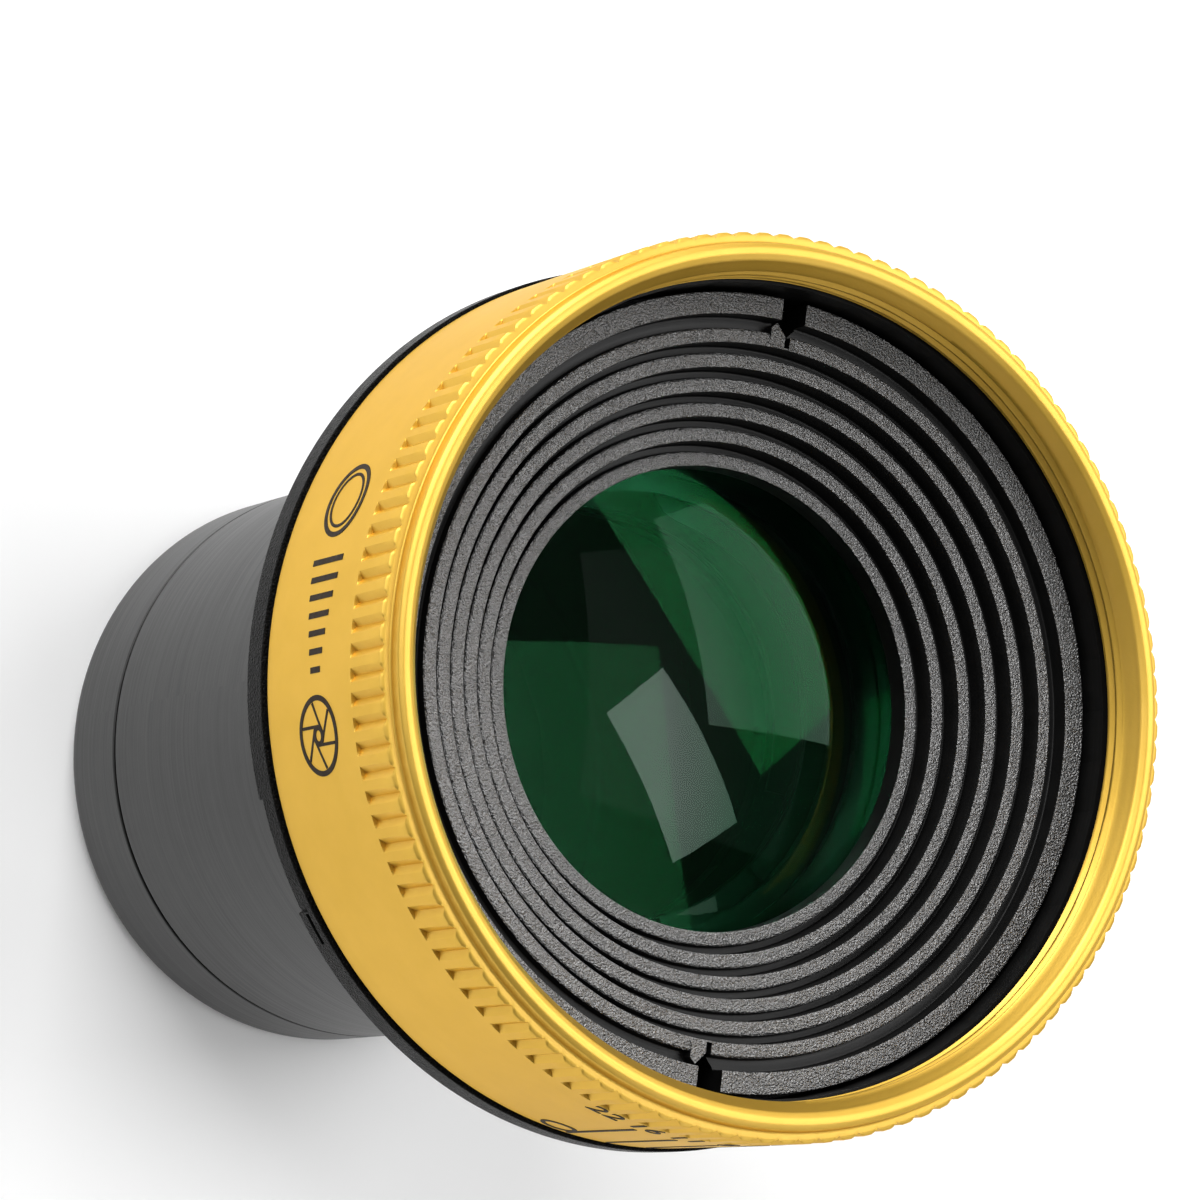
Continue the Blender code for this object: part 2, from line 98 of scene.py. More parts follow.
# Rear tube, with a collar in front and a ledge inside
TUBE_R = 17.5
TUBE_BORE_R = 16.75
TUBE_REAR_Z, TUBE_FRONT_Z = 7.25, 43.85
COLLAR_R = 19.5
COLLAR_REAR_Z = 43.3
LEDGE_R = 16.0
LEDGE_REAR_Z, LEDGE_FRONT_Z = 31.0, 32.7

# Rear cap, with a spigot that fits in the tube and a seat for the rear lenses
CAP_FRONT_Z = 6.95
CAP_EDGE_R = 1.2
CAP_BORE_R = 12.2
SPIGOT_R = 16.45
SPIGOT_FRONT_Z = 20.0
SEAT_R = 13.6
SEAT_Z = 7.2

# Glass
FRONT_LENS_R = 14.2
REAR_LENS_R = 13.3
CEMENT_GAP = 0.1
FLINT_REAR_Z = 40.1

# Markings. The ink reaches this far into the band and out of it.
INK_DEPTH = 0.04
INK_HEIGHT = 0.03
NUMERAL_Z = 53.2
NUMERAL_SIZE = 2.2
STOP_LINE_Z = (44.5, 52.0)
STOP_LINE_WIDTH = 0.26
PICTURE_Z = 50.0
OPEN_ANGLE, BARS_ANGLE, CLOSED_ANGLE = 165.5, 173.6, 195.5

# Tints of the glass and of its coatings' reflections
GLASS_TINT = (0.2, 0.52, 0.36)
FRONT_STRAIGHT, FRONT_SLANTED = (0.33, 0.41, 0.365), (0.006, 0.19, 0.075)
INNER_GREEN = (0.001, 0.2, 0.05)
CEMENT_TINT, CEMENT_GREEN = (0.97, 1.0, 0.98), (0.1, 0.4, 0.25)

# Floor
FLOOR_HALF = 3000.0
FLOOR_DROP = 0.1            # keeps the floor just under the rear face

# Camera: the point that it looks at, how far away it is, and its angles about Z, above the floor
# and about its own line of sight
CAMERA_LENS = 150.0
CAMERA_AIM = (-2.613, 6.162, 40.0)
CAMERA_DISTANCE = 288.905
CAMERA_AZIMUTH, CAMERA_ELEVATION, CAMERA_ROLL = -157.9856, 59.3841, 77.5129


# ---- Materials -----------------------------------------------------------------------------------

class Look:
    """A Principled material, with short calls for the nodes that give it detail."""

    def __init__(self, name, base, rough, metallic=0.0, **inputs):
        self.made = bpy.data.materials.new(name)
        self.made.use_nodes = True
        self.nodes = self.made.node_tree.nodes
        self.links = self.made.node_tree.links
        self.shader = self.nodes["Principled BSDF"]
        self.set("Base Color", (*base, 1.0))
        self.set("Roughness", rough)
        self.set("Metallic", metallic)
        for key, value in inputs.items():
            self.set(key.replace("_", " "), value)
        self.made.diffuse_color = (*base, 1.0)
        self.coords = self.nodes.new("ShaderNodeTexCoord").outputs["Object"]
        self.height = None

    def set(self, name, value):
        self.shader.inputs[name].default_value = value

    def noise(self, scale, detail=4.0, rough=0.55, coords=None):
        node = self.nodes.new("ShaderNodeTexNoise")
        node.inputs["Scale"].default_value = scale
        node.inputs["Detail"].default_value = detail
        node.inputs["Roughness"].default_value = rough
        self.links.new(coords or self.coords, node.inputs["Vector"])
        return node.outputs["Fac"]

    def voronoi(self, scale):
        node = self.nodes.new("ShaderNodeTexVoronoi")
        node.inputs["Scale"].default_value = scale
        self.links.new(self.coords, node.inputs["Vector"])
        return node.outputs["Distance"]

    def round_coords(self, along_r, round_axis, along_z):
        """Coordinates that run with the radius, the angle about Z and the height."""
        split = self.nodes.new("ShaderNodeSeparateXYZ")
        self.links.new(self.coords, split.inputs[0])
        radius = self.math("SQRT", self.math(
            "ADD", self.math("MULTIPLY", split.outputs[0], split.outputs[0]),
            self.math("MULTIPLY", split.outputs[1], split.outputs[1])))
        joined = self.nodes.new("ShaderNodeCombineXYZ")
        angle = self.math("ARCTAN2", split.outputs[1], split.outputs[0])
        for slot, (value, scale) in enumerate(
                ((radius, along_r), (angle, round_axis), (split.outputs[2], along_z))):
            self.links.new(self.math("MULTIPLY", value, scale), joined.inputs[slot])
        return joined.outputs[0]

    def math(self, operation, first, second=None):
        node = self.nodes.new("ShaderNodeMath")
        node.operation = operation
        for slot, value in enumerate((first, second)):
            if isinstance(value, (int, float)):
                node.inputs[slot].default_value = value
            elif value is not None:
                self.links.new(value, node.inputs[slot])
        return node.outputs[0]

    def ramp(self, source, stops):
        node = self.nodes.new("ShaderNodeValToRGB")
        ramp = node.color_ramp
        while len(ramp.elements) < len(stops):
            ramp.elements.new(0.5)
        for element, (place, colour) in zip(ramp.elements, stops):
            element.position = place
            element.color = (*((colour,) * 3 if isinstance(colour, float) else colour), 1.0)
        self.links.new(source, node.inputs["Fac"])
        return node.outputs["Color"]

    def to(self, source, name):
        self.links.new(source, self.shader.inputs[name])

    def bump(self, source, distance_mm, strength=1.0):
        node = self.nodes.new("ShaderNodeBump")
        node.inputs["Strength"].default_value = strength
        node.inputs["Distance"].default_value = distance_mm * MM
        self.links.new(source, node.inputs["Height"])
        if self.height is not None:
            self.links.new(self.height, node.inputs["Normal"])
        self.height = node.outputs["Normal"]
        self.links.new(self.height, self.shader.inputs["Normal"])


def gold_look():
    """Satin gold anodising: a tinted metal under a thin clear layer."""
    look = Look("gold_anodised_look", (0.72, 0.46, 0.07), 0.5, 1.0)
    look.set("Specular Tint", (0.88, 0.62, 0.2, 1.0))
    look.set("Coat Weight", 0.35)
    look.set("Coat Roughness", 0.3)
    look.set("Coat IOR", 1.5)
    spread = look.noise(420.0, 5.0)
    look.to(look.ramp(spread, [(0.3, (0.7, 0.445, 0.065)), (0.7, (0.74, 0.475, 0.077))]),
            "Base Color")
    lathe_lines = look.noise(1.0, 3.0, coords=look.round_coords(9000.0, 1.5, 9000.0))
    look.to(look.ramp(lathe_lines, [(0.3, 0.495), (0.7, 0.505)]), "Roughness")
    look.bump(look.noise(6500.0, 2.0), 0.008, 0.6)
    return look.made


def plastic_look(name, base, index):
    """Black moulded plastic with a fine pebbled surface and lighter specks."""
    look = Look(name, (base, base, base), 0.4, Specular_IOR_Level=0.5, IOR=index)
    speck = look.noise(9500.0, 2.0, 0.6)
    look.to(look.ramp(speck, [(0.36, (base * 0.4, base * 0.39, base * 0.38)),
                              (0.56, (base, base * 0.98, base * 0.97)),
                              (0.7, (base * 6.0, base * 5.9, base * 5.8))]), "Base Color")
    look.to(look.ramp(look.noise(1800.0), [(0.3, 0.27), (0.7, 0.36)]), "Roughness")
    look.bump(look.noise(8000.0, 2.0), 0.2, 1.0)
    look.bump(look.voronoi(9000.0), 0.03, 0.5)
    return look.made


def black_metal_look(name, base, rough, shine=0.7):
    """Black metal with faint lathe lines."""
    look = Look(name, (base, base, base * 1.08), rough, 0.0, Specular_IOR_Level=shine)
    look.to(look.ramp(look.noise(700.0, 5.0), [(0.3, (base * 0.75,) * 3), (0.7, (base * 1.3,) * 3)]),
            "Base Color")
    lathe_lines = look.noise(1.0, 3.0, coords=look.round_coords(7000.0, 1.2, 7000.0))
    look.to(look.ramp(lathe_lines, [(0.3, rough - 0.05), (0.7, rough + 0.06)]), "Roughness")
    look.bump(look.noise(6500.0, 2.0), 0.012, 0.3)
    return look.made


def steel_look():
    """Bright turned steel, for the screws, the pin and the snap ring."""
    look = Look("turned_steel_look", (0.56, 0.56, 0.58), 0.28, 1.0)
    lathe_lines = look.noise(1.0, 3.0, coords=look.round_coords(6000.0, 2.0, 6000.0))
    look.to(look.ramp(lathe_lines, [(0.3, 0.2), (0.7, 0.36)]), "Roughness")
    look.to(look.ramp(look.noise(900.0), [(0.3, (0.5, 0.5, 0.52)), (0.7, (0.62, 0.62, 0.64))]),
            "Base Color")
    return look.made


def glass_look(name, tint, straight, slanted, ior):
    """Coated glass: its reflection has one tint seen straight on and another at a slant."""
    look = Look(name, tint, 0.0, 0.0, Transmission_Weight=1.0, IOR=ior)
    facing = look.nodes.new("ShaderNodeLayerWeight").outputs["Facing"]
    look.to(look.ramp(facing, [(0.1, straight), (0.2, slanted)]), "Specular Tint")
    dust = look.noise(260.0, 6.0)
    look.to(look.ramp(dust, [(0.45, 0.006), (0.85, 0.03)]), "Roughness")
    return look.made


def ink_look():
    """Matt black ink for the markings."""
    look = Look("black_ink_look", (0.02, 0.012, 0.005), 0.6, Specular_IOR_Level=0.15)
    look.to(look.ramp(look.noise(3500.0), [(0.3, 0.52), (0.7, 0.68)]), "Roughness")
    shade = look.ramp(look.noise(1500.0), [(0.3, (0.016, 0.009, 0.004)), (0.7, (0.028, 0.017, 0.008))])
    look.to(shade, "Base Color")
    return look.made


# ---- Shapes --------------------------------------------------------------------------------------

def soften(profile, radius=0.1, closed=True, steps=3):
    """Rounds each corner of an outline with a small curve, and keeps the flats flat up to it."""
    points = [Vector(point) for point in profile]
    count = len(points)
    result = []
    for index, corner in enumerate(points):
        before, after = points[index - 1], points[(index + 1) % count]
        if not closed and index in (0, count - 1):
            result.append(corner)
            continue
        back, on = before - corner, after - corner
        if back.angle(on) > math.radians(168.0):
            result.append(corner)
            continue
        reach = min(radius, 0.3 * back.length, 0.3 * on.length)
        first, last = corner + back.normalized() * reach, corner + on.normalized() * reach
        result.append(corner + back.normalized() * reach * 1.45)
        for step in range(steps + 1):
            t = step / steps
            result.append(first * (1 - t) ** 2 + corner * (2 * t * (1 - t)) + last * t ** 2)
        result.append(corner + on.normalized() * reach * 1.45)
    return [(point.x, point.y) for point in result]


def bow(centre, radius, start, end, count):
    """Points along a circular arc."""
    return [
        (centre[0] + radius * math.cos(math.radians(start + (end - start) * step / count)),
         centre[1] + radius * math.sin(math.radians(start + (end - start) * step / count)))
        for step in range(count + 1)
    ]


def mesh_object(name, points, faces, look, sharp=SHARP):
    mesh = bpy.data.meshes.new(name)
    mesh.from_pydata([tuple(point) for point in points], [], faces)
    mesh.shade_smooth()
    mesh.set_sharp_from_angle(angle=math.radians(sharp))
    made = bpy.data.objects.new(name, mesh)
    bpy.context.scene.collection.objects.link(made)
    mesh.materials.append(look)
    return made


def turned(name, profile, look, segments=METAL_FACETS, radius_at=None, sharp=SHARP):
    """A turned piece. radius_at(row, angles, radius) may change a row's radius round the piece."""
    open_ended = profile[0][0] == 0.0
    angles = np.arange(segments) * FULL_CIRCLE / segments
    rows = []
    for row, (r, z) in enumerate(profile):
        radius = np.full(segments, float(r))
        if radius_at:
            radius = radius_at(row, angles, radius)
        rows.append(np.stack([radius * np.cos(angles), radius * np.sin(angles),
                              np.full(segments, z)], 1))
    points, starts = [], []
    for (r, z), row in zip(profile, rows):
        starts.append(len(points))
        points.extend([(0.0, 0.0, z)] if r == 0.0 else row.tolist())
    faces = []
    pairs = list(range(len(profile) - 1)) + ([] if open_ended else [len(profile) - 1])
    for j in pairs:
        k = (j + 1) % len(profile)
        a, b = starts[j], starts[k]
        for i in range(segments):
            n = (i + 1) % segments
            if profile[j][0] == 0.0:
                faces.append((a, b + i, b + n))
            elif profile[k][0] == 0.0:
                faces.append((a + i, b, a + n))
            else:
                faces.append((a + i, b + i, b + n, a + n))
    return mesh_object(name, np.array(points) * MM, faces, look, sharp)


def apply_all(piece):
    """Puts the piece's modifiers into its mesh."""
    bpy.context.view_layer.update()
    graph = bpy.context.evaluated_depsgraph_get()
    mesh = bpy.data.meshes.new_from_object(piece.evaluated_get(graph))
    piece.modifiers.clear()
    piece.data = mesh


def cut(piece, cutters, operation="DIFFERENCE"):
    """Cuts the cutters out of the piece, or joins them to it, and then removes them."""
    for cutter in cutters:
        modifier = piece.modifiers.new("Cut", "BOOLEAN")
        modifier.operation = operation
        modifier.solver = "EXACT"
        modifier.object = cutter
        modifier.material_mode = "TRANSFER"
    apply_all(piece)
    for cutter in cutters:
        bpy.data.objects.remove(cutter, do_unlink=True)
    piece.data.shade_smooth()
    piece.data.set_sharp_from_angle(angle=math.radians(SHARP))


def prism(name, outline, low, high, look):
    """A closed prism over a counter-clockwise outline in the XY plane."""
    count = len(outline)
    points = [(x, y, z) for z in (low, high) for x, y in outline]
    faces = [tuple(range(count))[::-1], tuple(range(count, 2 * count))]
    faces += [(i, (i + 1) % count, count + (i + 1) % count, count + i) for i in range(count)]
    return mesh_object(name, np.array(points) * MM, faces, look)


def polar(radius, degrees):
    """The X and Y of a point at a radius and an angle."""
    angle = math.radians(degrees)
    return radius * math.cos(angle), radius * math.sin(angle)


def sector(inner, outer, start, end, count=12):
    """The outline of a piece of a flat ring."""
    out = [polar(outer, start + (end - start) * step / count) for step in range(count + 1)]
    back = [polar(inner, end + (start - end) * step / count) for step in range(count + 1)]
    return out + back


def stand_for(piece, body, slot_name, *nodes):
    """Puts the piece on its body, in place of the CAD nodes that it replaces. Its slot_name is not used.
    """
    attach(piece, body)
    if nodes:
        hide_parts(*nodes)


MATERIALS = {
    "gold": gold_look(),
    "plastic": plastic_look("pebbled_black_look", 0.016, 2.75),
    # painted shade: the flange's plastic is a darker, duller copy of the pebbled black
    "flange": plastic_look("flange_shade_look", 0.004, 1.14),
    # painted shade: a darker, duller black for the walls and floors of the baffle's grooves
    "groove_shade": black_metal_look("groove_shade_look", 0.006, 0.45, 0.3),
    "black": black_metal_look("black_anodised_look", 0.012, 0.33),
    "tube": black_metal_look("black_tube_look", 0.008, 0.38, 0.5),
    "blade": black_metal_look("blade_look", 0.01, 0.42),
    # The bore black is the barrel's own matt finish; on the walls of the cut slots it is painted shade.
    "bore_black_and_slot_shade": black_metal_look("bore_black_and_slot_shade_look", 0.003, 0.5, 0.2),
    "steel": steel_look(),
    "crown": glass_look("front_glass_look", GLASS_TINT, FRONT_STRAIGHT, FRONT_SLANTED, 1.52),
    "flint": glass_look("inner_glass_look", GLASS_TINT, INNER_GREEN, INNER_GREEN, 1.62),
    "cement": glass_look("cement_look", CEMENT_TINT, CEMENT_GREEN, CEMENT_GREEN, 1.04),
    "ink": ink_look(),
}


# ---- Aperture ring -------------------------------------------------------------------------------

def aperture_ring():
    """The gold ring: bead, shoulder, V notches, plain band and threaded bore."""
    bead = soften([(23.0, 57.5), (23.22, 57.8), (23.4, 58.1), (23.75, LIP_Z), (24.08, LIP_Z),
                   (24.36, 58.14), (24.47, 57.53), (24.8, 57.5)], 0.12, closed=False, steps=4)
    shoulder = [(24.93, 57.48), (25.05, 57.41), (BAND_R, 57.3)]
    knurl = [(BAND_R, 56.0), (BAND_R, 55.0), (BAND_R, 54.16)]
    band = [(BAND_R, NOTCH_REAR_Z), (BAND_R, 54.08)]
    rear = soften([(BAND_R, 53.9), (BAND_R, BAND_REAR_Z), (RING_BORE_R, BAND_REAR_Z),
                   (RING_BORE_R, THREAD_START_Z)], 0.12, closed=False)
    bore = [(THREAD_MINOR_R, THREAD_START_Z)]
    thread = []
    z = THREAD_START_Z + THREAD_LEAD_IN
    while z < THREAD_END_Z:
        thread.append((THREAD_MAJOR_R, z))
        z += THREAD_ROW_STEP
    profile = bead + shoulder + knurl + band + rear + bore + thread + [(22.9, 57.3)]
    notch_rows = range(len(bead), len(bead + shoulder + knurl))
    before_thread = len(bead + shoulder + knurl + band + rear + bore)
    thread_rows = range(before_thread, before_thread + len(thread))
    pitch = FULL_CIRCLE / KNURL_NOTCHES

    def radius_at(row, angles, radius):
        if row in notch_rows:
            off = np.abs((angles + pitch / 2) % pitch - pitch / 2) * BAND_R
            return np.minimum(radius, BAND_R - NOTCH_DEPTH * np.clip(1.0 - off / NOTCH_HALF, 0.0, None))
        if row in thread_rows:
            turn = (profile[row][1] - THREAD_START_Z) / THREAD_PITCH - angles / FULL_CIRCLE
            ridge = np.abs((turn % 1.0) - 0.5) * 2.0
            return radius - THREAD_DEPTH * np.clip(ridge * 1.25, 0.0, 1.0)    # flat crests
        return radius

    ring = turned("aperture_ring_visual", profile, MATERIALS["gold"], KNURL_NOTCHES * KNURL_SAMPLES,
                  radius_at, FINE_SHARP)
    stand_for(ring, "ring", "gold_anodised", "aperture_ring")


# ---- Black pieces --------------------------------------------------------------------------------

def groove_floor(rib):
    """The height of the flat just outside a rib, counted from the outermost one."""
    return RIB_TOP_Z - GROOVE_DEPTH - RIB_DROP * rib


def front_baffle():
    """The stepped ribs, with a small boss beside each of the two spanner slots."""
    profile = [(RIM_OUTER_R, RIM_TOP_Z), (RIM_OUTER_R, 51.0), (21.0, 51.0), (21.0, 51.6), (19.3, 51.6),
               (13.16, 47.7)]
    for rib in reversed(range(RIB_COUNT)):
        outer, top = RIB_OUTER_R - RIB_PITCH * rib, RIB_TOP_Z - RIB_DROP * rib
        wall = outer + GROOVE_WIDTH if rib else RIM_INNER_R
        profile += [(outer - RIB_WIDTH, top), (outer - RIB_BEVEL, top), (outer, top - RIB_BEVEL),
                    (outer, top - GROOVE_DEPTH), (wall, top - GROOVE_DEPTH)]
    profile.append((RIM_INNER_R, RIM_TOP_Z))
    baffle = turned("front_baffle_visual", soften(profile, 0.11), MATERIALS["plastic"], PLASTIC_FACETS)
    bosses, slots = [], []
    for side in (1.0, -1.0):
        outline = [(x, side * y) for x, y in (
            (-1.25, 19.7), (-0.1, 19.7), (-0.1, 20.95), (-0.8, 20.95), (-1.12, 20.65), (-1.12, 19.95))]
        half = [(0.775, 22.8), (0.775, 20.95), (0.18, 20.3), (0.18, 19.66)]
        shape = [(x, side * y) for x, y in half] + [(-x, side * y) for x, y in reversed(half)]
        if side > 0:
            shape = shape[::-1]
        else:
            outline = outline[::-1]
        bosses.append(prism("boss", outline, 52.5, 53.5, MATERIALS["plastic"]))
        # The slot walls take the bore black, as painted shade in the slots.
        slots.append(prism("slot", shape, 51.4, 54.5, MATERIALS["bore_black_and_slot_shade"]))
    cut(baffle, bosses, "UNION")
    cut(baffle, slots)
    shade_groove_walls(baffle)
    stand_for(baffle, "core", "black_plastic", "front_baffle")


def shade_groove_walls(baffle):
    """Gives the walls and groove floors a smoother, darker black than the pebbled rib tops; the darker
    colour is painted shade in the grooves.
    """
    baffle.data.materials.append(MATERIALS["groove_shade"])
    for face in baffle.data.polygons:
        radius, height = math.hypot(face.center.x, face.center.y) / MM, face.center.z / MM
        in_groove = any(abs(height - groove_floor(rib)) < 0.05 and radius > RIB_OUTER_R - RIB_PITCH * rib
                        for rib in range(RIB_COUNT))
        faces_up = face.normal.z > 0.6
        if (in_groove or not faces_up) and face.material_index == 0:
            face.material_index = len(baffle.data.materials) - 1


def mount_flange():
    """The flange, with its relief pockets, slots and three screw bores."""
    profile = [(FLANGE_R, FLANGE_FRONT_Z), (FLANGE_R, FLANGE_STEP_Z), (FLANGE_FOOT_R, FLANGE_STEP_Z),
               (FLANGE_FOOT_R, FLANGE_REAR_Z), (FLANGE_BORE_R, FLANGE_REAR_Z),
               (FLANGE_BORE_R, RECESS_Z), (RECESS_R, RECESS_Z), (RECESS_R, FLANGE_FRONT_Z)]
    # The flange's darker plastic is painted shade.
    look = MATERIALS["flange"]
    flange = turned("mount_flange_visual", soften(profile, 0.1), look, PLASTIC_FACETS)
    cutters = []
    for turn in (0.0, 180.0):
        pocket = sector(25.0, 26.3, turn - 158.0, turn - 143.0)
        cutters.append(prism("pocket", pocket, 41.1, 43.2, look))
        for start, end in ((-156.2, -150.4), (-142.8, -138.4)):
            slot = sector(24.6, 26.3, turn + start, turn + end)
            # These narrow slots take the bore black, as painted shade.
            cutters.append(prism("slot", slot, 42.82, 43.17, MATERIALS["bore_black_and_slot_shade"]))
    for angle in SCREW_ANGLES:
        x, y = polar(SCREW_CIRCLE_R, angle)
        for radius, low, high in ((HEAD_BORE_R, 41.0, 42.6), (SHANK_BORE_R, 42.0, 44.0)):
            circle = [polar(radius, 10.0 * step) for step in range(36)]
            outline = [(x + px, y + py) for px, py in circle]
            cutters.append(prism("screw_bore", outline, low, high, look))
    cut(flange, cutters)
    stand_for(flange, "core", "black_plastic", "mount_flange")


def rear_tube():
    """The black tube, with the ledge that holds the lens cell inside."""
    profile = [(COLLAR_R, TUBE_FRONT_Z), (COLLAR_R, COLLAR_REAR_Z), (TUBE_R, COLLAR_REAR_Z),
               (TUBE_R, TUBE_REAR_Z), (TUBE_BORE_R, TUBE_REAR_Z), (TUBE_BORE_R, LEDGE_REAR_Z),
               (LEDGE_R, LEDGE_REAR_Z), (LEDGE_R, LEDGE_FRONT_Z), (TUBE_BORE_R, LEDGE_FRONT_Z),
               (TUBE_BORE_R, TUBE_FRONT_Z)]
    tube = turned("rear_tube_visual", soften(profile, 0.12), MATERIALS["tube"])
    stand_for(tube, "core", "black_anodised", "rear_tube")


def rear_cap():
    """The rear end piece, with a rounded rear edge."""
    edge = bow((TUBE_R - CAP_EDGE_R, CAP_EDGE_R), CAP_EDGE_R, 0.0, -90.0, 12)
    profile = soften([(SPIGOT_R, SPIGOT_FRONT_Z), (SPIGOT_R, CAP_FRONT_Z), (TUBE_R, CAP_FRONT_Z),
                      (TUBE_R, 1.4)], 0.1, closed=False)[1:]
    profile += edge[1:-1]
    profile += soften([(16.0, 0.0), (CAP_BORE_R, 0.0), (CAP_BORE_R, SEAT_Z), (SEAT_R, SEAT_Z),
                       (SEAT_R, SPIGOT_FRONT_Z), (SPIGOT_R, SPIGOT_FRONT_Z)], 0.15, closed=False)
    cap = turned("rear_cap_visual", profile, MATERIALS["tube"])
    stand_for(cap, "core", "black_anodised", "rear_cap")


# ---- Glass ---------------------------------------------------------------------------------------

def lens_face(radius, apex, curvature, count=24):
    """A spherical face from the axis outwards, bulging up where curvature is positive."""
    points = []
    for step in range(count + 1):
        r = radius * step / count
        sag = abs(curvature) - math.sqrt(curvature * curvature - r * r)
        points.append((r, apex - math.copysign(sag, curvature)))
    return points


def cement_faces(lens, side):
    """Gives the faces on one side of a lens the cement's own look."""
    lens.data.materials.append(MATERIALS["cement"])
    for face in lens.data.polygons:
        if face.normal.z * side > 0.5:
            face.material_index = 1


def lenses():
    """The cemented pair in front, and the air-spaced pair at the rear."""
    joint = lens_face(FRONT_LENS_R, 42.28, -32.0)
    front = lens_face(FRONT_LENS_R, 49.6, 38.0)
    crown = turned("front_crown_visual", front + joint[::-1], MATERIALS["crown"], LENS_FACETS)
    cement_faces(crown, -1.0)
    stand_for(crown, "core", "crown_glass", "front_crown_lens")
    behind = [(r, z - CEMENT_GAP) for r, z in joint]
    behind += [(r, FLINT_REAR_Z) for r in (FRONT_LENS_R, 7.0, 0.0)]
    flint = turned("front_flint_visual", behind, MATERIALS["flint"], LENS_FACETS)
    cement_faces(flint, 1.0)
    stand_for(flint, "core", "flint_glass", "front_flint_lens")
    meniscus = lens_face(REAR_LENS_R, 18.1, 60.0) + lens_face(REAR_LENS_R, 16.61, 30.0)[::-1]
    rear_flint = turned("rear_flint_visual", meniscus, MATERIALS["flint"], LENS_FACETS)
    stand_for(rear_flint, "core", "flint_glass", "rear_flint_lens")
    last = lens_face(REAR_LENS_R, 12.18, 40.0) + lens_face(REAR_LENS_R, 5.62, -40.0)[::-1]
    rear_crown = turned("rear_crown_visual", last, MATERIALS["crown"], LENS_FACETS)
    stand_for(rear_crown, "core", "crown_glass", "rear_crown_lens")


# ---- Markings on the ring ------------------------------------------------------------------------

def wrapped(name, shapes):
    """Lays flat outlines on the band as thin ink. Each is (millimetres along the band, z) points
    and the angle that they are centred on."""
    points, faces = [], []
    for outline, centre in shapes:
        base = len(points)
        count = len(outline)
        for radius in (BAND_R - INK_DEPTH, BAND_R + INK_HEIGHT):
            for along, z in outline:
                x, y = polar(radius, centre + math.degrees(along / BAND_R))
                points.append((x, y, z))
        faces.append(tuple(base + count + i for i in range(count)))
        faces.append(tuple(base + i for i in reversed(range(count))))
        for i in range(count):
            n = (i + 1) % count
            faces.append((base + i, base + n, base + count + n, base + count + i))
    made = mesh_object(name, np.array(points) * MM, faces, MATERIALS["ink"], FINE_SHARP)
    stand_for(made, "ring", "black_anodised")


def numeral(name, text, centre):
    """A numeral as a mesh, wrapped on the band with its top towards the front."""
    curve = bpy.data.curves.new(name, "FONT")
    curve.body = text
    curve.size = NUMERAL_SIZE
    curve.align_x = "CENTER"
    curve.align_y = "CENTER"
    curve.resolution_u = 4
    curve.extrude = (INK_DEPTH + INK_HEIGHT) / 2
    guide = bpy.data.objects.new(name + "_guide", curve)
    bpy.context.scene.collection.objects.link(guide)
    bpy.context.view_layer.update()
    graph = bpy.context.evaluated_depsgraph_get()
    mesh = bpy.data.meshes.new_from_object(guide.evaluated_get(graph))
    bpy.data.objects.remove(guide, do_unlink=True)
    for vertex in mesh.vertices:
        along, up, out = vertex.co
        x, y = polar(BAND_R + (INK_HEIGHT - INK_DEPTH) / 2 + out, centre + math.degrees(along / BAND_R))
        vertex.co = Vector((x, y, NUMERAL_Z + up)) * MM
    mesh.materials.clear()
    mesh.materials.append(MATERIALS["ink"])
    made = bpy.data.objects.new(name, mesh)
    bpy.context.scene.collection.objects.link(made)
    stand_for(made, "ring", "black_anodised")


def bar(low, high, width):
    """An upright bar, with a point at half height on each side."""
    heights = [low, (low + high) / 2, high]
    left = [(-width / 2, z) for z in heights]
    right = [(width / 2, z) for z in reversed(heights)]
    return (left + right)[::-1]


def oval(rx, rz, centre_z, count):
    """The points of an ellipse laid along the band."""
    angles = [FULL_CIRCLE * k / count for k in range(count)]
    return [(rx * math.cos(angle), centre_z + rz * math.sin(angle)) for angle in angles]


def oval_ring(rx, rz, width, centre, centre_z, count=48):
    """A hollow oval as quads, so that its middle stays gold."""
    shapes = []
    outer, inner = oval(rx, rz, centre_z, count), oval(rx - width, rz - width, centre_z, count)
    for k in range(count):
        n = (k + 1) % count
        shapes.append(([outer[k], outer[n], inner[n], inner[k]], centre))
    return shapes


def markings():
    """The aperture numbers with their lines, the circle at the first stop, and the picture."""
    stops = (("22", -103.3), ("16", -97.3), ("11", -91.3), ("8", -85.3), ("5.6", -79.3), ("4", -73.3),
             ("2.5", -67.3))
    for stop, angle in stops:
        numeral("stop_" + stop.replace(".", "_"), stop, angle)
    wrapped("stop_lines", [(bar(*STOP_LINE_Z, STOP_LINE_WIDTH), angle) for _, angle in stops[1:]])
    wrapped("stop_circle", oval_ring(1.1, 0.95, 0.28, -99.9, 45.45))
    open_to_closed()


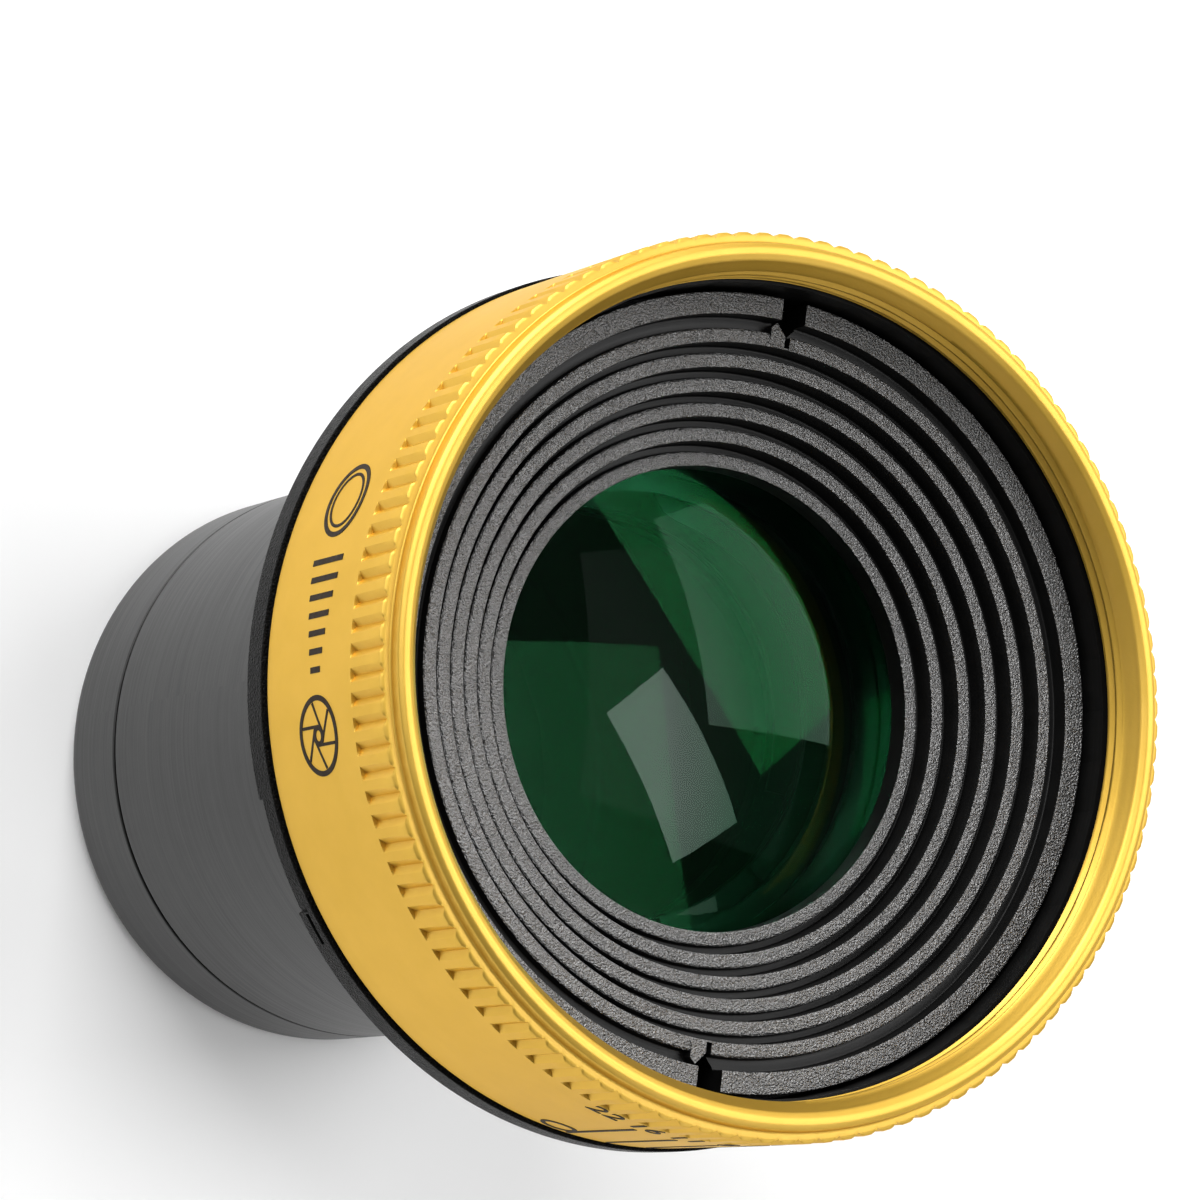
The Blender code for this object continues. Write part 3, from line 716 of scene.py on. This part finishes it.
def open_to_closed():
    """A picture in place of words: an open iris, a row of shortening bars, a closed iris."""
    outer, opening, line = 2.2, 0.6, 0.3
    shapes = oval_ring(outer, outer, line, OPEN_ANGLE, PICTURE_Z)
    shapes += oval_ring(1.65, 1.65, 0.18, OPEN_ANGLE, PICTURE_Z)
    for index in range(7):
        half = 1.75 - 0.2 * index
        shapes.append((bar(PICTURE_Z - half, PICTURE_Z + half, 0.34), BARS_ANGLE + 2.3 * index))
    shapes += oval_ring(outer, outer, line, CLOSED_ANGLE, PICTURE_Z)
    shapes += oval_ring(opening, opening, line, CLOSED_ANGLE, PICTURE_Z)
    half, near, reach = 0.09, 0.5, 1.78
    for index in range(6):
        angle = math.radians(60.0 * index)
        nx, nz = math.cos(angle), math.sin(angle)
        tx, tz = -nz, nx
        shapes.append(([
            ((near - half) * nx, PICTURE_Z + (near - half) * nz),
            ((near + half) * nx, PICTURE_Z + (near + half) * nz),
            ((near + half) * nx + reach * tx, PICTURE_Z + (near + half) * nz + reach * tz),
            ((near - half) * nx + reach * tx, PICTURE_Z + (near - half) * nz + reach * tz),
        ], CLOSED_ANGLE))
    wrapped("iris_pictogram", shapes)


# ---- Kept CAD pieces -----------------------------------------------------------------------------

def dress_kept_pieces():
    """Puts the finer materials in the slots of the pieces whose CAD shape is kept."""
    looks = {
        "snap_ring": "steel", "drive_pin": "steel", "front_lens_cell": "black",
        "rear_lens_spacer": "black", "rear_retaining_ring": "black", "iris_base_ring": "black",
        "iris_cam_ring": "black", "main_barrel": "bore_black_and_slot_shade",
    }
    for number in range(1, 4):
        looks[f"flange_screw_{number}"] = "steel"
    for number in range(1, 13):
        looks[f"iris_blade_{number:02d}"] = "blade"
    for node, look in looks.items():
        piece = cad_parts[node]
        for material_slot in piece.material_slots:
            material_slot.material = MATERIALS[look]


# ---- Room ----------------------------------------------------------------------------------------

def floor():
    """A plain white floor that gives a little light of its own."""
    mesh = bpy.data.meshes.new("floor")
    corners = [(x * FLOOR_HALF * MM, y * FLOOR_HALF * MM, 0.0)
               for x, y in ((-1, -1), (1, -1), (1, 1), (-1, 1))]
    mesh.from_pydata(corners, [], [(0, 1, 2, 3)])
    look = Look("floor_look", (0.93, 0.93, 0.93), 0.6)
    look.set("Emission Color", (1.0, 1.0, 1.0, 1.0))
    look.set("Emission Strength", 0.05)
    mesh.materials.append(look.made)
    made = bpy.data.objects.new("floor", mesh)
    made.location.z = -FLOOR_DROP * MM
    bpy.context.scene.collection.objects.link(made)


def placed(made, right, up, back, place):
    """Sets where an object stands and which way it faces."""
    made.matrix_world = Matrix((
        (right[0], up[0], back[0], place[0]),
        (right[1], up[1], back[1], place[1]),
        (right[2], up[2], back[2], place[2]),
        (0.0, 0.0, 0.0, 1.0),
    ))
    bpy.context.scene.collection.objects.link(made)


def softbox(name, direction, long_side, size, radiance, reach=0.7):
    """A soft area light aimed at the ring, with its longer side along long_side. Its size and
    reach are in metres."""
    data = bpy.data.lights.new(name, "AREA")
    data.shape = "RECTANGLE"
    data.size, data.size_y = size
    data.energy = radiance * math.pi * size[0] * size[1]
    away = Vector(direction).normalized()
    across = Vector(long_side)
    across = (across - away * across.dot(away)).normalized()
    up = away.cross(across)
    made = bpy.data.objects.new(name, data)
    made.visible_camera = False
    placed(made, across, up, away, away * reach + Vector((0.0, 0.0, 0.05)))


def room():
    """Soft white light: bright near the horizon, dim above, and six soft boxes."""
    world = bpy.data.worlds.new("room")
    bpy.context.scene.world = world
    world.use_nodes = True
    back = world.node_tree.nodes["Background"]
    back.inputs["Color"].default_value = (1.0, 1.0, 1.0, 1.0)
    links = world.node_tree.links
    direction = world.node_tree.nodes.new("ShaderNodeTexCoord").outputs["Generated"]
    split = world.node_tree.nodes.new("ShaderNodeSeparateXYZ")
    links.new(direction, split.inputs[0])
    fade = world.node_tree.nodes.new("ShaderNodeMapRange")
    fade.inputs["From Min"].default_value = 0.08
    fade.inputs["From Max"].default_value = 0.4
    fade.inputs["To Min"].default_value = 1.0
    fade.inputs["To Max"].default_value = 0.09
    links.new(split.outputs["Z"], fade.inputs["Value"])
    links.new(fade.outputs["Result"], back.inputs["Strength"])
    softbox("top_box", (-0.38, 0.72, 0.58), (1.0, 0.4, 0.0), (0.6, 0.45), 7.5, 0.8)
    softbox("low_box", (0.46, -0.62, 0.63), (1.0, 0.5, 0.0), (0.4, 0.26), 2.2)
    softbox("left_box", (-0.55, 0.2, 0.81), (0.0, 1.0, 0.0), (0.4, 0.3), 2.4)
    softbox("right_box", (0.66, 0.42, 0.62), (0.35, -0.9, 0.25), (0.46, 0.48), 3.3)
    softbox("soft_top", (0.47, 0.19, 0.86), (1.0, 0.0, -0.5), (0.6, 0.6), 0.3)
    softbox("front_box", (0.41, -0.04, 0.91), (0.6, -0.72, -0.27), (0.37, 0.18), 5.8)


def camera():
    """A long lens that looks down into the front. The roll lays the optic over in the picture."""
    data = bpy.data.cameras.new("camera")
    data.lens = CAMERA_LENS
    data.sensor_width = 36.0
    data.clip_start, data.clip_end = 0.01, 20.0
    made = bpy.data.objects.new("camera", data)
    elevation, roll = math.radians(CAMERA_ELEVATION), math.radians(CAMERA_ROLL)
    back = Vector((*polar(math.cos(elevation), CAMERA_AZIMUTH), math.sin(elevation)))
    level = Vector((0.0, 0.0, 1.0)).cross(back).normalized()
    upright = back.cross(level)
    right = level * math.cos(roll) + upright * math.sin(roll)
    place = (Vector(CAMERA_AIM) + back * CAMERA_DISTANCE) * MM
    placed(made, right, back.cross(right), back, place)
    bpy.context.scene.camera = made


aperture_ring()
front_baffle()
mount_flange()
rear_tube()
rear_cap()
lenses()
markings()
dress_kept_pieces()
floor()
room()
camera()
bpy.context.scene.view_settings.view_transform = "Standard"
